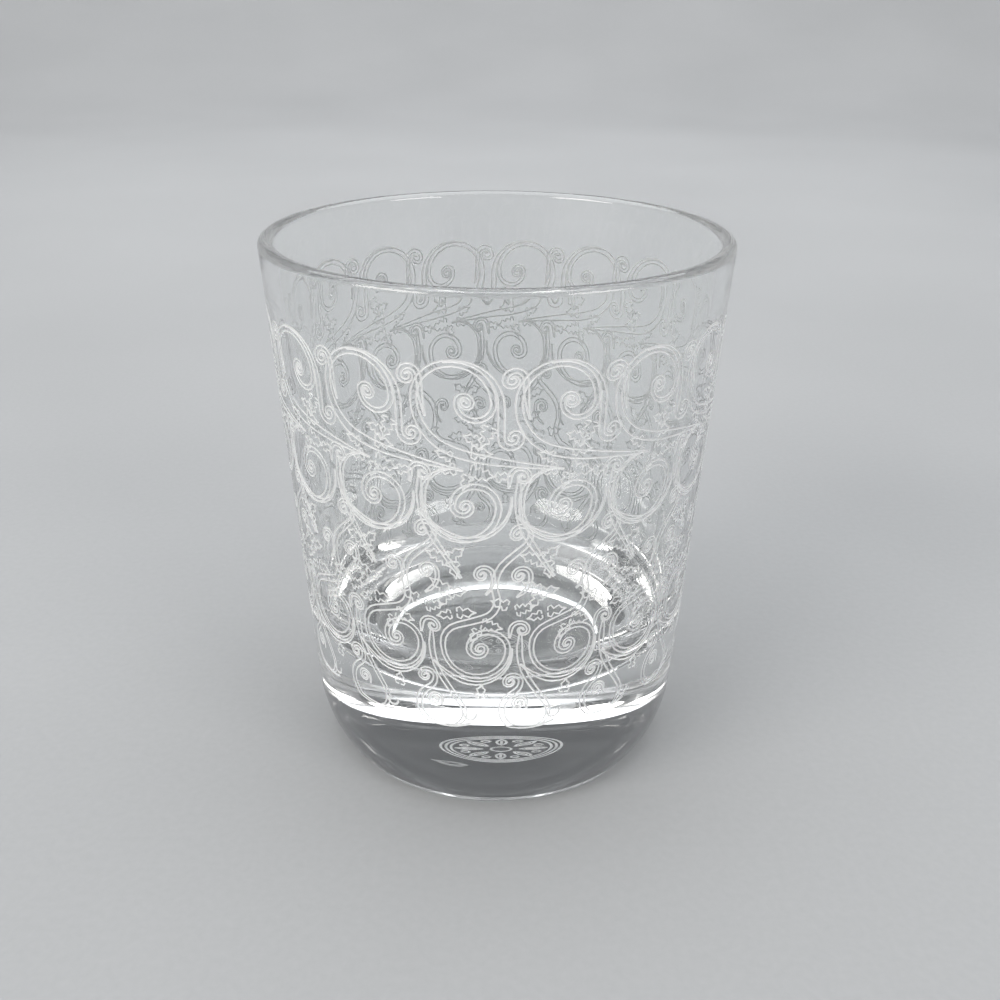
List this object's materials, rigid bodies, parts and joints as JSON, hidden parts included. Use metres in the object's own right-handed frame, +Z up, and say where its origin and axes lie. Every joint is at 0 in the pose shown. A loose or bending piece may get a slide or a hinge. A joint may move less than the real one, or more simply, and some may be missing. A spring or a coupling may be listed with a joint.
{
  "type": "whiskey tumbler",
  "caption": "Short tapered crystal drinking glass with a thick solid base, a softly rounded heel and a plain rounded lip, etched all round with scrolling arabesques.",
  "frame": {"origin": "middle of the foot, on the surface the glass stands on", "axes": "+Z up along the axis of the glass, from the foot to the open lip"},
  "size_m": [0.078, 0.078, 0.095],
  "materials": {
    "crystal": "polished clear lead crystal with a fine frosted etching on the outside of the wall"
  },
  "bodies": {
    "root": {"crystal_body": "crystal"}
  },
  "joints": []
}
